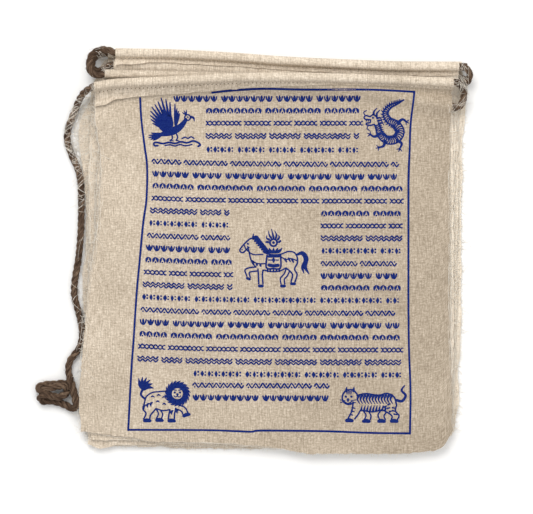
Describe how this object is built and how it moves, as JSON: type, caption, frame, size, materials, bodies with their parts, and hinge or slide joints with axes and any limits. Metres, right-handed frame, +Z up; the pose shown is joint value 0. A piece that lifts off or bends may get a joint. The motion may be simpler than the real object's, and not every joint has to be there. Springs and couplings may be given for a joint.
{
  "type": "prayer flag string",
  "caption": "Folded string of square cotton prayer flags, threaded through sewn casings on one twisted cord that ends in a knotted tie.",
  "frame": {"origin": "on the table under the middle of the folded stack", "axes": "+X to the right of the print, +Y towards the sewn casings, +Z up from the table"},
  "size_m": [0.2712, 0.2525, 0.0227],
  "materials": {
    "printed_cotton": "plain weave, printed in blue, raw edges",
    "cotton": "plain weave, raw frayed edges",
    "brown_cord": "three-strand twisted, fibrous"
  },
  "bodies": {
    "root": {"flag_1": "printed_cotton", "flag_2": "cotton", "flag_3": "cotton", "flag_4": "cotton", "flag_5": "cotton", "cord": "brown_cord", "tie_knot": "brown_cord"}
  },
  "joints": []
}
